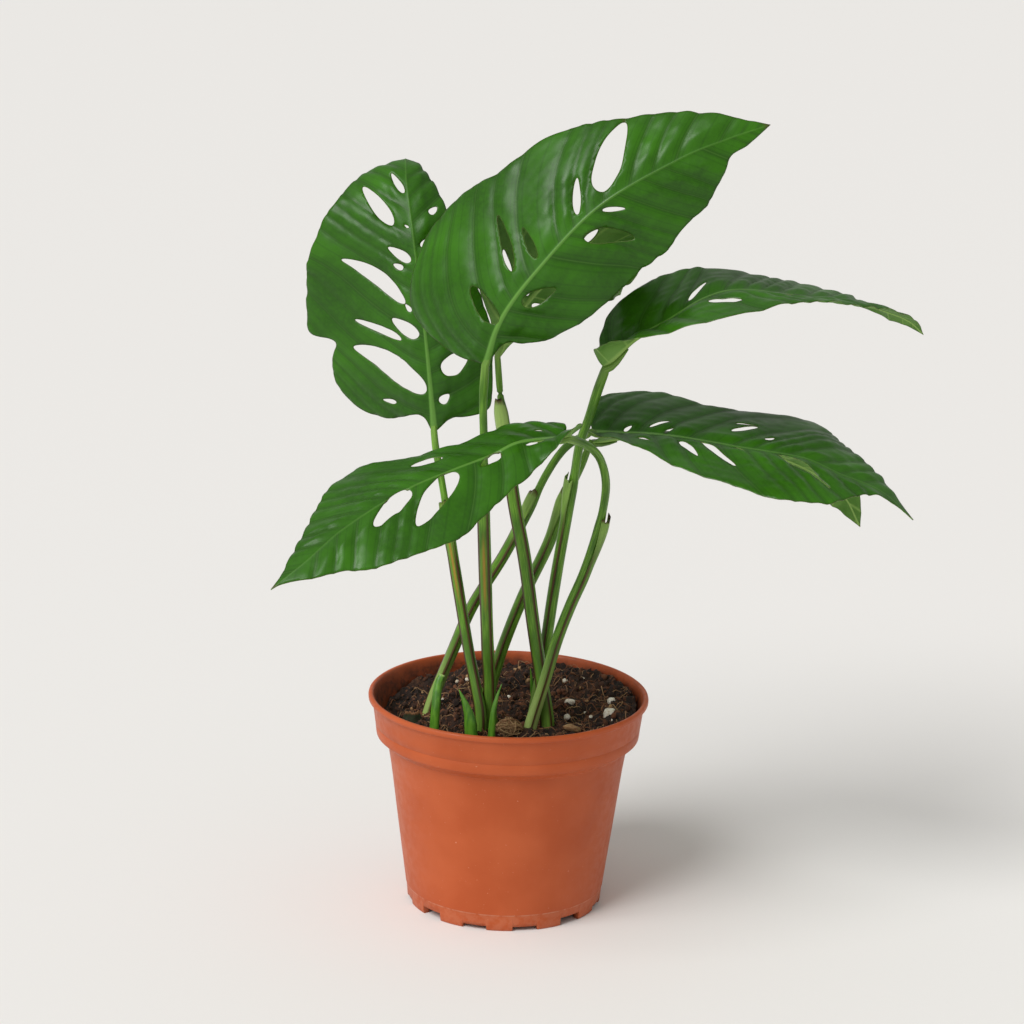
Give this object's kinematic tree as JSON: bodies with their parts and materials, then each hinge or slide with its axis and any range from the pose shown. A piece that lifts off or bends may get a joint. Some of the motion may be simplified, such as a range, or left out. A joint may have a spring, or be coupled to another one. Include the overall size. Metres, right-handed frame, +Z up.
{
  "type": "potted swiss cheese vine",
  "caption": "Potted swiss cheese vine: holed, pointed leaf blades on long petioles, young shoots and potting mix in a tapered plastic nursery pot with a rim band.",
  "frame": {"origin": "on the pot's axis, in the plane the pot stands on", "axes": "+Z up; -Y towards the front of the plant, the side its top leaf faces; +X to the right seen from the front"},
  "size_m": [0.2298, 0.1714, 0.3039],
  "materials": {
    "pot_plastic": "satin moulded terracotta-coloured polypropylene",
    "potting_mix": "moist peat and coir mix, matt",
    "leaf_blade": "waxy, glossy upper face",
    "petiole": "smooth, semi-gloss",
    "young_shoot": "smooth, semi-gloss",
    "perlite": "chalky",
    "bark": "rough",
    "coir": "loose fibre",
    "old_leaf": "dry"
  },
  "bodies": {
    "root": {"pot": "pot_plastic", "potting_mix": "potting_mix", "leaf_back_left": "leaf_blade", "leaf_top_front": "leaf_blade", "leaf_top_behind": "leaf_blade", "leaf_front_left": "leaf_blade", "leaf_upper_right": "leaf_blade", "leaf_lower_right": "leaf_blade", "leaf_lower_behind": "leaf_blade", "petiole_back_left": "petiole", "petiole_top_front": "petiole", "petiole_top_behind": "petiole", "petiole_front_left": "petiole", "petiole_upper_right": "petiole", "petiole_lower_right": "petiole", "petiole_lower_behind": "petiole", "shoot_sheathed": "young_shoot", "shoot_bud": "young_shoot", "shoot_pointed": "young_shoot", "shoot_spike": "young_shoot", "perlite_large": "perlite", "perlite_medium": "perlite", "perlite_small": "perlite", "perlite_back": "perlite", "bark_chip": "bark", "fibre_tangle": "coir", "old_leaf_scrap": "old_leaf"}
  },
  "joints": []
}
